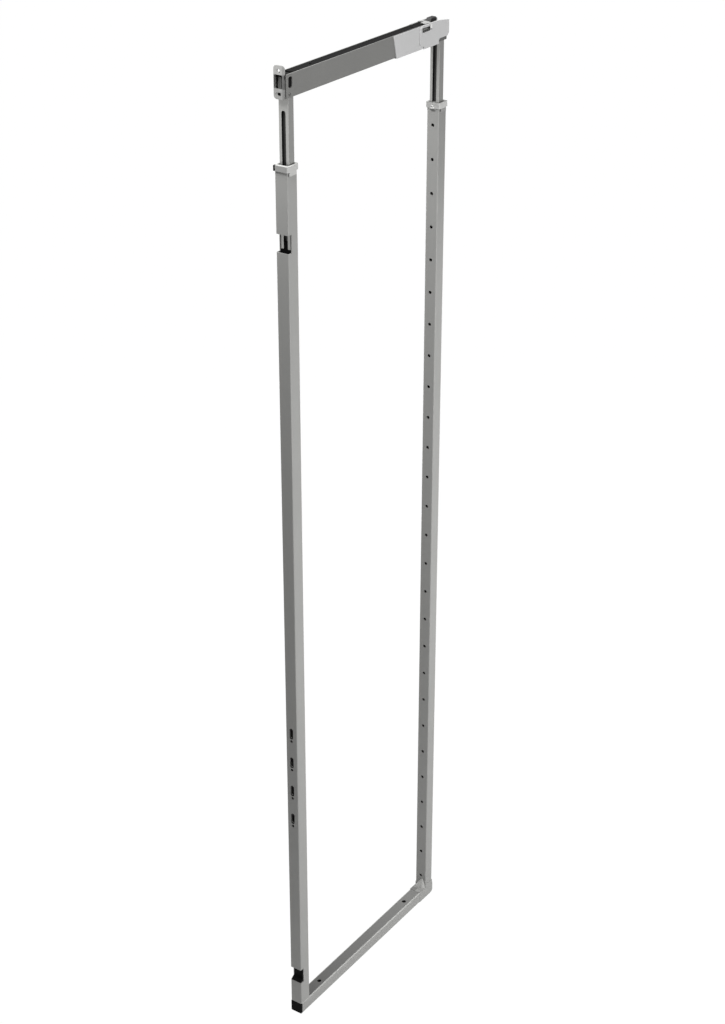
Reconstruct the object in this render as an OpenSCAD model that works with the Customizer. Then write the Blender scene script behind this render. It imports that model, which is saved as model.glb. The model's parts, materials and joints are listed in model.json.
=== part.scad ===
// Pull-out pantry frame: two punched posts on a bottom bar, with a height-adjustable slotted head,
// a top channel that runs on a ceiling rail, and an adjustable door bracket.
// Front (door side) faces -Y. The origin is midway between the two runner bolts, under the bottom bar.
// All sizes are in millimetres.

/* [Frame] */
// Width of the posts and of the bottom bar
frame_w = 25; // [23:0.5:30]
// Depth of the front post
front_d = 28; // [27:0.5:34]
// Depth of the rear post
rear_d = 25; // [24:0.5:30]
// Front face of the front post to the rear face of the rear post
frame_depth = 484; // [470:1:520]
// Height of the posts' top ends
post_top = 1749; // [1500:1:1800]
// Wall of the posts and of the bar
wall = 1.5; // [1.2:0.1:2]
// Outside corner radius of the posts and of the bar
corner_r = 2; // [1.8:0.1:3]
// Height of the bottom bar
bar_h = 25; // [22:0.5:30]

/* [Holes] */
// Pitch of the basket holes
hole_pitch = 64; // [32:32:64]
// Height of the lowest basket hole
hole_first = 53.6; // [52:0.2:70]
// Diameter of a basket hole
hole_d = 6.5; // [5:0.1:8]
// Front face to the front runner bolt
bolt_front = 79; // [60:1:90]
// Distance between the runner bolts
bolt_pitch = 314; // [280:1:320]
// Diameter of a runner bolt hole
bolt_d = 9; // [5:0.1:11]

/* [Door fixing on the post] */
// Height of the lowest door slot's centre
door_slot_first = 473; // [400:1:600]
// Pitch of the door slots
door_slot_pitch = 64; // [48:1:80]
// Number of door slots
door_slots = 4; // [2:1:5]
// Length of a door slot
door_slot_l = 20; // [14:0.5:26]
// Width of a door slot
door_slot_w = 6; // [5:0.1:7]
// Slot centre down to its locating hole
door_pin_drop = 18; // [17:0.5:22]
// Height of a hook notch in the front post
notch_h = 32; // [24:0.5:40]
// Depth of a hook notch
notch_d = 9.5; // [7:0.1:9.6]
// Height of the lower notch's floor
notch_low = 77.5; // [70:0.5:90]
// Post top down to the upper notch's floor
notch_drop = 139.5; // [120:0.5:160]

/* [Telescopic head] */
// Width of a riser
riser_w = 19.4; // [18:0.1:19.8]
// Depth of a riser
riser_d = 15; // [14.5:0.1:16]
// Width of a riser's slot
slot_w = 8.4; // [7:0.1:9]
// Post top up to the underside of the top channel
head_rise = 121; // [115:1:160]
// Length of riser inside the post
riser_in = 135; // [130:1:150]
// Height of a collar above the post
collar_h = 10; // [9.5:0.1:14]
// How far a collar stands out past the post
collar_out = 2; // [1.6:0.1:3]
// How far the collar's side flaps hang down
collar_flap = 7; // [4:0.5:12]
// Diameter of the clamp screws
clamp_d = 6; // [5:0.1:6]

/* [Top runner] */
// Width of the top channel
chan_w = 22; // [21.5:0.1:26]
// Height of the top channel
chan_h = 39; // [38.5:0.1:44]
// Wall of the top channel
chan_t = 1.5; // [1.2:0.1:1.6]
// Length of the light roller housing, along its top edge
house_l = 93; // [80:1:140]
// Slant of the housing's front edge
house_slant = 9; // [0:0.5:14]
// Width of the ceiling rail
rail_w = 18; // [17:0.1:18.2]
// Height of the ceiling rail
rail_h = 24.5; // [24:0.1:25]
// Distance between the ceiling rail's screws
rail_pitch = 300; // [240:1:320]
// Diameter of a ceiling screw hole
rail_hole_d = 5.2; // [4:0.1:6]
// Distance between the two guide rollers
roller_gap = 22; // [18:0.5:24]

/* [Door bracket] */
// Height of the door bracket
brk_h = 55; // [52:0.5:62]
// Width of the door bracket
brk_w = 21.2; // [20.6:0.1:24]
// Thickness of the door bracket's plate
brk_t = 2.7; // [2:0.1:2.9]
// Diameter of the upper door hole
brk_hole_d = 6.6; // [5:0.1:7.5]
// Diameter of the adjusting spindle
spindle_d = 6; // [5:0.1:6.4]

/* [Hidden] */
$fn = 48;
eps = 0.01;
run = 0.3;
fit = 0.05;

yf = -(bolt_front + bolt_pitch / 2);
yr = yf + frame_depth;
rear_face = yr - rear_d;
in_w = frame_w - 2 * wall;
in_r = max(corner_r - wall, 0.4);
hole_n = floor((post_top - 28 - hole_first) / hole_pitch) + 1;
notch_up = post_top - notch_drop;

plug_flange = 3.6;
corner_top = 33;
corner_out = 3;
heel_r = 7;
corner_x = frame_w + 0.8;
corner_front = min(rear_face - 14, max(yr - 47, bolt_pitch / 2 + bolt_d / 2 + 24));
corner_screw = corner_front - 11;

ch_z = post_top + head_rise;
ch_top = ch_z + chan_h;
ch_in = chan_w - 2 * chan_t;
ch_floor = 2;
ch_front = yf + 4.3;
ch_rear = yr - 31;
riser_f = yf + front_d - wall - riser_d - 1.5;
riser_r = rear_face + wall + 2;
riser_low = post_top - riser_in;
lip = 1.5;
cav_w = riser_w - 5;
cav_d = 2.8;
core_d = 4.2;
slot_end = 14;
slot_end_front = 22;
slot_open = -1;
glide_h = 20;
clamp_z = post_top + clamp_d / 2 + 0.2;
wedge = 4;
bush_in = 22;
bush_up = 7;
bush_gap = 1.5;
bush_front = 5.5;
bush_rear = 2;

house_rear = yr - 79;
house_front = house_rear - house_l;
house_t = 1.5;
cheek_t = 3;
lap_t = 1.3;
lap_front = yr - 91;
cheek_x = chan_w / 2 + cheek_t;
step_y = yr - 31;
step_z = ch_z + 7;
block_h = 10;
brk_rear = yr + 2;
clip_y = yr - 61;
clip_w = 6;
hook_slot = yr - 83.5;

rail_t = 1.5;
rail_top = ch_top - 0.5;
rail_low = rail_top - rail_h;
rail_front = yf + 28;
rail_rear = yr - 41;
rail_mid = (rail_front + rail_rear) / 2;
roller_d = rail_w - 2 * rail_t - 2 * run;
roller_h = 14;
roller_z = ch_z + 18;
roller_b = rail_rear - 19;
roller_a = roller_b - roller_gap;
pin_d = 5;

brk_y = yf + 1;
brk_low = ch_z - 2;
nose_l = 21.7;
nose_back = 8.2;
nose_low = ch_z + 8;
nose_h = chan_h - 13;
win_low = ch_z + 15;
win_h = 23;
spin_x = -2;
spin_y = yf + 7.6;
nut_h = 8;
brk_x = ch_in / 2 - 0.3 - brk_w / 2;
brk_win_l = brk_x - brk_w / 2 + 1.6;
brk_win_r = brk_x + brk_w / 2 - 4;
tongue_t = 1.6;

tube_grey = [0.62, 0.62, 0.61];
light_grey = [0.80, 0.81, 0.81];
dark_grey = [0.50, 0.50, 0.49];
black = [0.06, 0.06, 0.06];
silver = [0.83, 0.83, 0.82];

// Rectangle with round corners, centred
module rrect(w, d, r) {
  square([w - 2 * r, d], center = true);
  square([w, d - 2 * r], center = true);
  for (sx = [-1, 1], sy = [-1, 1])
    translate([sx * (w / 2 - r), sy * (d / 2 - r)]) circle(r);
}

// Slot outline along its second axis, with round ends
module stadium(l, w) {
  square([w, l - w], center = true);
  for (s = [-1, 1]) translate([0, s * (l - w) / 2]) circle(d = w);
}

// Solid with a rounded outline in plan, standing between two heights
module upright(w, y0, d, r, z0, z1) {
  translate([0, y0 + d / 2, z0]) linear_extrude(z1 - z0) rrect(w, d, r);
}

// Solid with a rounded outline in front view, lying along Y
module lying(w, h, r, z0, y0, y1) {
  translate([0, y1, z0 + h / 2]) rotate([90, 0, 0]) linear_extrude(y1 - y0) rrect(w, h, r);
}

// Outline drawn in side view (Y, Z), as wide as w about the middle plane
module side_slab(w) {
  translate([-w / 2, 0, 0]) rotate([90, 0, 90]) linear_extrude(w) children();
}

// Cylinder along Y, from y0 to y1
module along_y(d, x, z, y0, y1) {
  translate([x, y0, z]) rotate([-90, 0, 0]) cylinder(h = y1 - y0, d = d);
}

// Cylinder along X, from x0 to x1
module along_x(d, y, z, x0, x1) {
  translate([x0, y, z]) rotate([0, 90, 0]) cylinder(h = x1 - x0, d = d);
}

// Column of basket holes through one wall
module basket_holes(y) {
  for (k = [0 : hole_n - 1])
    along_y(hole_d, 0, hole_first + k * hole_pitch, y - 1, y + wall + 1);
}

// Hook notch across the whole front of the front post
module hook_notch(z) {
  translate([-frame_w, yf - 5, z]) cube([2 * frame_w, notch_d + 5, notch_h]);
}

module bottom_bar() color(tube_grey) difference() {
  lying(frame_w, bar_h, corner_r, 0, yf + plug_flange, corner_front);
  lying(in_w, bar_h - 2 * wall, in_r, wall, yf, corner_front + 1);
  for (s = [-1, 1])
    translate([0, s * bolt_pitch / 2, -1]) cylinder(h = bar_h + 2, d = bolt_d);
  translate([0, corner_screw, -eps]) cylinder(h = wall + 2 * eps, d1 = 8.4 + 2 * eps, d2 = 5.4);
}

// End plug with a flange and a hollow ribbed spigot
module front_bar_plug() color(black) {
  lying(frame_w, bar_h, corner_r, 0, yf, yf + plug_flange);
  difference() {
    lying(in_w, bar_h - 2 * wall, in_r, wall, yf + plug_flange - eps, yf + 19);
    lying(in_w - 5, bar_h - 2 * wall - 5, 0.5, wall + 2.5, yf + plug_flange + 2, yf + 20);
  }
}

// Corner casting: a spigot each way, a rounded heel and a rounded nose in the inner corner
module rear_corner() color(light_grey) difference() {
  union() {
    side_slab(corner_x) {
      polygon([
        [corner_front, 0], [yr + corner_out - heel_r, 0], [yr + corner_out, heel_r],
        [yr + corner_out, corner_top - 15], [yr + 0.4, corner_top], [rear_face - 0.4, corner_top],
        [rear_face - 0.4, bar_h + 0.4], [corner_front, bar_h + 0.4]
      ]);
      translate([yr + corner_out - heel_r, heel_r]) circle(heel_r, $fn = 64);
    }
    difference() {
      translate([0, rear_face, bar_h]) rotate_extrude($fn = 64)
        polygon([[0, -1], [12.2, -1], [12.2, 3], [11.4, 5.4], [6.4, 10.8], [1.6, 16], [0, 16.6]]);
      translate([-frame_w, rear_face, 0]) cube([2 * frame_w, rear_d, corner_top + 30]);
    }
    lying(in_w, bar_h - 2 * wall, in_r, wall, corner_front - 22, corner_front + eps);
    upright(in_w, rear_face + wall, rear_d - 2 * wall, in_r, corner_top - eps, corner_top + 13);
  }
  translate([0, corner_screw, wall - 1]) cylinder(h = 9, d = 4);
  along_y(4, 0, corner_top + 6.5, yr - 12, yr + 1);
}

module front_post() color(tube_grey) difference() {
  upright(frame_w, yf, front_d, corner_r, bar_h, post_top);
  upright(in_w, yf + wall, front_d - 2 * wall, in_r, bar_h - 1, post_top + 1);
  hook_notch(notch_low);
  hook_notch(notch_up);
  for (k = [0 : door_slots - 1]) translate([0, 0, door_slot_first + k * door_slot_pitch]) {
    translate([0, yf + wall + 1, 0]) rotate([90, 0, 0]) linear_extrude(wall + 2) stadium(door_slot_l, door_slot_w);
    along_y(door_slot_w, 0, -door_pin_drop, yf - 1, yf + wall + 1);
  }
  basket_holes(yf + front_d - wall);
}

module rear_post() color(tube_grey) difference() {
  upright(frame_w, rear_face, rear_d, corner_r, corner_top, post_top);
  upright(in_w, rear_face + wall, rear_d - 2 * wall, in_r, corner_top - 1, post_top + 1);
  basket_holes(rear_face);
  along_y(4, 0, corner_top + 6.5, yr - wall - 1, yr + 1);
}

// Plastic seat in the lower notch, with a sloped ledge for the door hook
module hook_seat() color(black) {
  difference() {
    upright(in_w, yf + wall, front_d - 2 * wall, in_r, notch_low - 16, notch_low + notch_h + 1.5);
    translate([-frame_w, yf - 1, notch_low]) cube([2 * frame_w, notch_d + 1, notch_h + 20]);
  }
  side_slab(in_w) polygon([
    [yf + 0.4, notch_low], [yf + 0.4, notch_low + 2], [yf + 2.5, notch_low + 4],
    [yf + notch_d + eps, notch_low + 8], [yf + notch_d + eps, notch_low]
  ]);
}

// Bore for a clamp screw, from the riser out through the collar's wall
module clamp_bore(y0, d, ry, screw_side) {
  if (screw_side > 0) along_y(clamp_d, 0, clamp_z, ry + riser_d, y0 + d + collar_out + 1);
  else along_y(clamp_d, 0, clamp_z, y0 - collar_out - 1, ry);
}

// Opening in a collar round its bush
module bush_room(ry, before, z0, z1)
  translate([-in_w / 2, ry - before, z0]) cube([in_w, before + riser_d + bush_gap, z1 - z0]);

// Clamp collar: a rim on the post's end, side flaps and a boss for the clamp screw
module collar(y0, d, ry, before, screw_side) difference() {
  union() {
    upright(frame_w + 2 * collar_out, y0 - collar_out, d + 2 * collar_out, corner_r + 1, post_top, post_top + collar_h);
    for (s = [-1, 1]) translate([s * (frame_w / 2 + collar_out / 2), y0 + d / 2, post_top - collar_flap / 2 + eps])
      cube([collar_out, d - 8, collar_flap], center = true);
    along_y(15, 0, clamp_z, screw_side > 0 ? y0 + d : y0 - collar_out, screw_side > 0 ? y0 + d + collar_out : y0);
  }
  bush_room(ry, before, post_top - 30, post_top + collar_h + 1);
  translate([-frame_w / 2 - collar_out - 1, screw_side > 0 ? y0 - collar_out - 1 : y0 + d + collar_out - wedge, post_top])
    cube([wedge + 1, wedge + 1, collar_h + 2]);
  clamp_bore(y0, d, ry, screw_side);
}

// Plastic bush that guides a riser, in the post's end and in the collar
module bush(y0, d, ry, before, screw_side) difference() {
  union() {
    upright(in_w, y0 + wall, d - 2 * wall, in_r, post_top - bush_in, post_top);
    bush_room(ry, before, post_top - eps, post_top + bush_up);
  }
  upright(riser_w + 2 * run, ry - run, riser_d + 2 * run, 0.5, post_top - 30, post_top + collar_h + 1);
  clamp_bore(y0, d, ry, screw_side);
}

module front_bush() color(black) bush(yf, front_d, riser_f, bush_front, 1);
module rear_bush() color(black) bush(rear_face, rear_d, riser_r, bush_rear, -1);

// Plastic wedge in the corner of a collar, behind the screw
module collar_wedge(y) translate([-frame_w / 2 - collar_out + 0.2, y, post_top])
  cube([wedge - 0.2, wedge - 0.2, collar_h - 0.6]);

module front_collar_wedge() color(black) collar_wedge(yf - collar_out + 0.2);
module rear_collar_wedge() color(black) collar_wedge(yr + collar_out - wedge);

module front_collar() color(light_grey) collar(yf, front_d, riser_f, bush_front, 1);
module rear_collar() color(light_grey) collar(rear_face, rear_d, riser_r, bush_rear, -1);

// Round-head clamp screw with a socket, its head at y = 0 and its shank along +Y
module clamp_screw(shank) rotate([-90, 0, 0]) difference() {
  union() {
    rotate_extrude() polygon([
      [0, -3.6], [2.2, -3.4], [3.6, -2.6], [4.4, -1.4], [4.6, 0], [0, 0]
    ]);
    translate([0, 0, -eps]) cylinder(h = shank + eps, d = clamp_d);
  }
  translate([0, 0, -4]) cylinder(h = 2.4, d = 3.4, $fn = 6);
}

module front_clamp_screw() color(silver)
  translate([0, yf + front_d + collar_out, clamp_z]) mirror([0, 1, 0])
    clamp_screw(yf + front_d + collar_out - (riser_f + riser_d - lip - 0.2));

module rear_clamp_screw() color(silver)
  translate([0, rear_face - collar_out, clamp_z]) clamp_screw(riser_r + lip + 0.2 - (rear_face - collar_out));

// Slot nut that the clamp screw ends on, inside the riser
module slot_nut() translate([-(cav_w - 0.8) / 2, 0, -7]) cube([cav_w - 0.8, cav_d - 0.4, 14]);

module front_clamp_nut() color(silver)
  translate([0, riser_f + riser_d - lip - 0.2 - (cav_d - 0.4), clamp_z]) slot_nut();
module rear_clamp_nut() color(silver) translate([0, riser_r + lip + 0.2, clamp_z]) slot_nut();

module bar_corner_screw() color(silver) translate([0, corner_screw, 0]) {
  cylinder(h = wall, d1 = 8.4, d2 = 5.4);
  cylinder(h = wall + 7, d = 4);
}

module post_corner_screw() color(silver) {
  along_y(4, 0, corner_top + 6.5, yr - 11, yr + eps);
  translate([0, yr, corner_top + 6.5]) rotate([-90, 0, 0]) rotate_extrude()
    polygon([[0, 0], [3.8, 0], [3.5, 1.2], [2.4, 2], [0, 2.2]]);
}

// Slot in one face of a riser, wider inside, ending below the riser's top or open through it
module riser_slot(y0, s, top_gap) translate([0, y0 + riser_d / 2, 0]) {
  straight = top_gap > 0 ? ch_z - top_gap - slot_w / 2 : ch_z - top_gap;
  translate([-slot_w / 2, s > 0 ? riser_d / 2 - lip - eps : -riser_d / 2 - 1, riser_low - 1])
    cube([slot_w, lip + 1 + eps, straight - riser_low + 1]);
  if (top_gap > 0) translate([0, s * riser_d / 2, straight]) rotate([90, 0, 0])
    cylinder(h = 2 * lip + 0.1, d = slot_w, center = true);
  translate([-cav_w / 2, s > 0 ? riser_d / 2 - lip - cav_d : -riser_d / 2 + lip, riser_low - 1])
    cube([cav_w, cav_d, ch_z - top_gap - riser_low + 1]);
}

// Slotted riser: a slot front and back, and a solid core between them
module riser(y0, front_gap) difference() {
  upright(riser_w, y0, riser_d, 0.8, riser_low, ch_z);
  riser_slot(y0, -1, front_gap);
  riser_slot(y0, 1, slot_end);
  translate([0, y0 + riser_d / 2, ch_z - 24]) cylinder(h = 30, d = core_d);
}

module front_riser() color(silver) riser(riser_f, slot_end_front);
module rear_riser() color(silver) riser(riser_r, slot_open);

// Glide under a riser, with two tenons in its slots
module glide(front, back, ry) {
  upright(in_w - 2 * run, front, back - front, in_r, riser_low - glide_h, riser_low);
  for (y = [ry + lip, ry + riser_d - lip - cav_d])
    translate([-cav_w / 2, y, riser_low - eps]) cube([cav_w, cav_d, 12]);
}

module front_glide() color(black) glide(riser_f, yf + front_d - wall - run, riser_f);
module rear_glide() color(black) glide(rear_face + wall + run, yr - wall - run, riser_r);

// Countersunk screw down into a riser's core, its flat top at z = 0
module core_screw(through) {
  translate([0, 0, -2]) cylinder(h = 2, d1 = core_d, d2 = 8.2);
  translate([0, 0, -through - 20]) cylinder(h = through + 20, d = core_d);
}

module front_riser_screw() color(silver)
  translate([0, riser_f + riser_d / 2, ch_z + ch_floor]) core_screw(ch_floor);
module rear_riser_screw() color(silver)
  translate([0, riser_r + riser_d / 2, ch_z + block_h]) core_screw(block_h);

// Countersunk hole for that screw
module core_hole(through) {
  translate([0, 0, -2]) cylinder(h = 2, d1 = core_d, d2 = 8.2);
  translate([0, 0, -eps]) cylinder(h = 1, d = 8.2);
  translate([0, 0, -through - 1]) cylinder(h = through + 1, d = core_d);
}

// Open channel with a window each side of the adjuster
module top_channel() color(dark_grey) difference() {
  lying(chan_w, chan_h + 4, 1, ch_z, ch_front, ch_rear);
  translate([-chan_w, yf - 5, ch_top]) cube([2 * chan_w, frame_depth, 10]);
  translate([-ch_in / 2, yf - 5, ch_z + ch_floor]) cube([ch_in, frame_depth, chan_h + 10]);
  side_slab(2 * chan_w) translate([yf + 12.9, win_low + win_h / 2]) rrect(15.3, win_h, 5);
  along_x(3.2, yf + 13.5, ch_z + 5.5, -chan_w, chan_w);
  translate([0, riser_f + riser_d / 2, ch_z + ch_floor]) core_hole(ch_floor);
  for (y = [roller_a, roller_b]) translate([0, y, ch_z - 1]) cylinder(h = ch_floor + 2, d = pin_d);
}

// Block in the channel's nose, hollow round the spindle and the door bracket's tongues
module nose_block() color(black) difference() {
  translate([-ch_in / 2, ch_front, ch_z + ch_floor]) cube([ch_in, nose_l, chan_h - ch_floor - 2]);
  translate([-ch_in, ch_front - 1, nose_low]) cube([2 * ch_in, nose_back + 1, nose_h]);
  translate([spin_x, spin_y, ch_z]) cylinder(h = chan_h + 5, d = 4 + 2 * fit);
  along_x(3.2, yf + 13.5, ch_z + 5.5, -chan_w, chan_w);
}

module nose_rivet() color(silver) translate([0, yf + 13.5, ch_z + 5.5]) rotate([0, 90, 0]) {
  cylinder(h = chan_w + 2 * eps, d = 3.2, center = true);
  for (s = [-1, 1]) mirror([0, 0, s > 0 ? 0 : 1]) translate([0, 0, chan_w / 2])
    rotate_extrude() polygon([[0, 0], [2.8, 0], [2.4, 0.8], [1.4, 1.3], [0, 1.4]]);
}

// Light sleeve round the channel, with a slanted front edge
module roller_housing() color(light_grey) difference() {
  side_slab(chan_w + 2 * house_t) polygon([
    [house_front, ch_top - 0.5], [house_rear, ch_top - 0.5],
    [house_rear, ch_z - house_t], [house_front + house_slant, ch_z - house_t]
  ]);
  translate([-chan_w / 2, house_front - 1, ch_z]) cube([chan_w, house_l + 2, chan_h + 2]);
  translate([-chan_w, hook_slot - 1, ch_top - 11]) cube([2 * chan_w, 20, 6.5]);
}

// Rear bracket: two cheeks that lap over the housing, joined under the channel
module rear_bracket() color(light_grey) difference() {
  union() {
    side_slab(2 * cheek_x) polygon([
      [house_rear, ch_top], [yr - 29.5, ch_top], [brk_rear, ch_top - 4.5],
      [brk_rear, step_z + 5], [brk_rear - 5, step_z], [step_y + 3, step_z],
      [step_y, step_z - 3], [step_y, ch_z - 2.2], [house_rear, ch_z - 2.2]
    ]);
    side_slab(2 * cheek_x) {
      translate([house_rear + eps, ch_z + 21]) intersection() {
        circle(19, $fn = 96);
        translate([lap_front - house_rear, -18]) square([house_rear - lap_front, 36]);
      }
    }
  }
  translate([-chan_w / 2, lap_front - 10, ch_z]) cube([chan_w, ch_rear - lap_front + 10, chan_h + 5]);
  translate([-chan_w / 2, ch_rear - eps, ch_z - 5]) cube([chan_w, brk_rear - ch_rear + 5, chan_h + 10]);
  translate([-chan_w / 2 - cheek_t + lap_t, lap_front - 10, ch_z - 10])
    cube([chan_w + 2 * (cheek_t - lap_t), house_rear - lap_front + 10, chan_h + 20]);
  translate([-cheek_x - 1, hook_slot, ch_top - 10.5]) cube([2 * cheek_x + 2, clip_y + clip_w + 1 - hook_slot, 5.5]);
  translate([-cheek_x - 1, clip_y - 0.6, ch_top - 3.4]) cube([2 * cheek_x + 2, clip_w + 1.2, 10]);
}

// Block on the rear riser that carries the rear bracket
module rear_head_block() color(dark_grey) difference() {
  translate([-chan_w / 2, ch_rear, ch_z]) cube([chan_w, brk_rear - 3 - ch_rear, block_h]);
  translate([0, riser_r + riser_d / 2, ch_z + block_h]) core_hole(block_h);
}

// Spring clip over the ceiling rail, hooked into the cheeks' slots
module rail_clip() color(silver) {
  half = [
    [4, 2.4], [chan_w / 2, 1.6], [cheek_x + 1, -2], [cheek_x + 1, -8.6], [cheek_x - 2.4, -8.6],
    [cheek_x - 2.4, -7.6], [cheek_x, -7.6], [cheek_x, -2.6], [chan_w / 2 + 0.2, 0.5], [4, 1.2]
  ];
  other = [for (i = [len(half) - 1 : -1 : 0]) [-half[i][0], half[i][1]]];
  translate([0, clip_y + clip_w, ch_top]) rotate([90, 0, 0]) linear_extrude(clip_w) polygon(concat(half, other));
}

// Roller pin: a shoulder under the roller and a rivet head over it
module roller_pin(y, z0, floor_z) translate([0, y, 0]) {
  translate([0, 0, z0]) cylinder(h = roller_z + roller_h + 0.2 - z0, d = pin_d);
  translate([0, 0, floor_z]) cylinder(h = roller_z - 0.2 - floor_z, d = 9);
  translate([0, 0, roller_z + roller_h + 0.2]) cylinder(h = 1.2, d1 = 8, d2 = 6.4);
}

module front_roller_pin() color(silver) roller_pin(roller_a, ch_z, ch_z + ch_floor);
module rear_roller_pin() color(silver) roller_pin(roller_b, ch_z, ch_z + ch_floor);

// Ceiling rail: an inverted channel with inward lips under the rollers
module ceiling_rail() color(black) difference() {
  lying(rail_w, rail_h, 1, rail_low, rail_front, rail_rear);
  translate([-rail_w / 2 + rail_t, rail_front - 1, rail_low + rail_t])
    cube([rail_w - 2 * rail_t, frame_depth, rail_h - rail_t - 2]);
  translate([-5.6, rail_front - 1, rail_low - 1]) cube([11.2, frame_depth, 5]);
  for (s = [-1, 1]) translate([0, rail_mid + s * rail_pitch / 2, rail_top - 5]) cylinder(h = 10, d = rail_hole_d);
}

// Buffer in the front end of the rail
module rail_stop() color(black)
  translate([-rail_w / 2 + rail_t, rail_front, rail_low + rail_t]) cube([rail_w - 2 * rail_t, 8, rail_h - rail_t - 2]);

// End cap of the rail, with a spigot inside it
module rail_end_cap() color(black) {
  lying(rail_w, rail_h, 1, rail_low, rail_rear, rail_rear + 3);
  translate([-rail_w / 2 + rail_t, rail_rear - 9, rail_low + rail_t])
    cube([rail_w - 2 * rail_t, 9 + eps, rail_h - rail_t - 2]);
}

// Crowned guide roller with a recessed web
module roller(y) translate([0, y, roller_z]) difference() {
  rotate_extrude() polygon([
    [pin_d / 2 + fit, 0], [4.2, 0], [4.8, 1], [roller_d / 2 - 1.6, 1], [roller_d / 2 - 0.6, 0.4],
    [roller_d / 2, 2], [roller_d / 2, roller_h - 2], [roller_d / 2 - 0.6, roller_h - 0.4],
    [roller_d / 2 - 1.6, roller_h - 1], [4.8, roller_h - 1], [4.2, roller_h], [pin_d / 2 + fit, roller_h]
  ]);
}

module front_roller() color(light_grey) roller(roller_a);
module rear_roller() color(light_grey) roller(roller_b);

// Door bracket: a plate with an upper hole, a lower slot and a window, a half nut behind the spindle, and a tongue
module door_bracket() color(silver) {
  translate([0, brk_y + brk_t, brk_low]) rotate([90, 0, 0]) linear_extrude(brk_t) difference() {
    translate([brk_x, brk_h / 2]) rrect(brk_w, brk_h, 6);
    translate([(brk_win_l + brk_win_r) / 2, win_low - brk_low + win_h / 2]) rrect(brk_win_r - brk_win_l, win_h, 1.5);
    translate([spin_x, brk_h - 9]) circle(d = brk_hole_d);
    translate([brk_x, 8.5]) rotate(90) stadium(13, 6);
  }
  difference() {
    translate([spin_x - 2.5, spin_y + 0.4, win_low + win_h / 2 - nut_h / 2])
      cube([brk_win_r + 1.6 - spin_x + 2.5, 3.5, nut_h]);
    translate([spin_x, spin_y, win_low]) cylinder(h = win_h, d = spindle_d + 2 * fit);
  }
  translate([brk_win_r, brk_y + brk_t - eps, win_low + win_h / 2 - nut_h / 2])
    cube([1.6, spin_y + 3.9 - brk_y - brk_t, nut_h]);
  translate([ch_in / 2 - 0.4 - tongue_t, brk_y + brk_t - eps, nose_low + nose_h / 2 - 9.5]) cube([tongue_t, 7, 19]);
}

// Adjusting spindle: two journals, a barrel in the nut lug, and a slotted head
module adjuster_spindle() color(silver) translate([spin_x, spin_y, 0]) difference() {
  union() {
    translate([0, 0, ch_z + 2.5]) cylinder(h = chan_h - 2.2, d = 4);
    translate([0, 0, ch_z + 8.2]) cylinder(h = chan_h - 13.4, d = spindle_d);
    translate([0, 0, ch_top - 1.8]) cylinder(h = 2.4, d = 6.6);
  }
  translate([-5, -0.6, ch_top - 0.6]) cube([10, 1.2, 3]);
}

bottom_bar();
front_bar_plug();
rear_corner();
front_post();
rear_post();
hook_seat();
front_collar();
rear_collar();
front_bush();
rear_bush();
front_collar_wedge();
rear_collar_wedge();
front_clamp_screw();
rear_clamp_screw();
front_clamp_nut();
rear_clamp_nut();
bar_corner_screw();
post_corner_screw();
front_riser();
rear_riser();
front_glide();
rear_glide();
front_riser_screw();
rear_riser_screw();
top_channel();
nose_block();
nose_rivet();
roller_housing();
rear_bracket();
rear_head_block();
rail_clip();
front_roller_pin();
rear_roller_pin();
ceiling_rail();
rail_stop();
rail_end_cap();
front_roller();
rear_roller();
door_bracket();
adjuster_spindle();
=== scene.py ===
import json
import math

import bmesh
import bpy
from mathutils import Matrix, Vector


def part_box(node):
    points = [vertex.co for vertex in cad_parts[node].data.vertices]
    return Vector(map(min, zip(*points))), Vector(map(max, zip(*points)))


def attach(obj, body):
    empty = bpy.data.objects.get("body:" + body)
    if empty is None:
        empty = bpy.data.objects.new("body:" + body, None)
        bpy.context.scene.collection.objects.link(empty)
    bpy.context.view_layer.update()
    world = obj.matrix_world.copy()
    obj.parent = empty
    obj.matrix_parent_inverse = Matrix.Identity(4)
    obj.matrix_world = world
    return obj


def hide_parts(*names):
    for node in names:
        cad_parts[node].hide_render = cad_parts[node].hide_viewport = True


bl_info = {
    "name": "Pull-out Pantry Frame",
    "version": (1, 0, 0),
    "blender": (4, 5, 0),
    "location": "3D View > Sidebar > Pantry Frame",
    "description": "Finishes, fine detail and a studio for a pull-out pantry frame",
    "category": "Object",
}

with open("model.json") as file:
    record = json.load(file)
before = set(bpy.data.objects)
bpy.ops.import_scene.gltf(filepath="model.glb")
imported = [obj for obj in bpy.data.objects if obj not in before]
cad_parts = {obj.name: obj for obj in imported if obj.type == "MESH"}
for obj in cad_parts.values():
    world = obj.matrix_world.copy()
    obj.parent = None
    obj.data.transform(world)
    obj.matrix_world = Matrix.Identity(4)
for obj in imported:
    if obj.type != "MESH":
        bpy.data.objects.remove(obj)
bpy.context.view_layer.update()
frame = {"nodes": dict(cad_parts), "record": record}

BLACK = (0.0, 0.0, 0.0)
ORIGIN = (0.0, 0.0, 0.0)
UP = (0.0, 0.0, 1.0)
# These stand up a ring that lies in XY, so that its axis runs along X or along Y
AXIS_TO_X = Matrix(((0, 0, 1, 0), (1, 0, 0, 0), (0, 1, 0, 0), (0, 0, 0, 1)))
AXIS_TO_Y = Matrix.Rotation(math.pi / 2, 4, "X")


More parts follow.
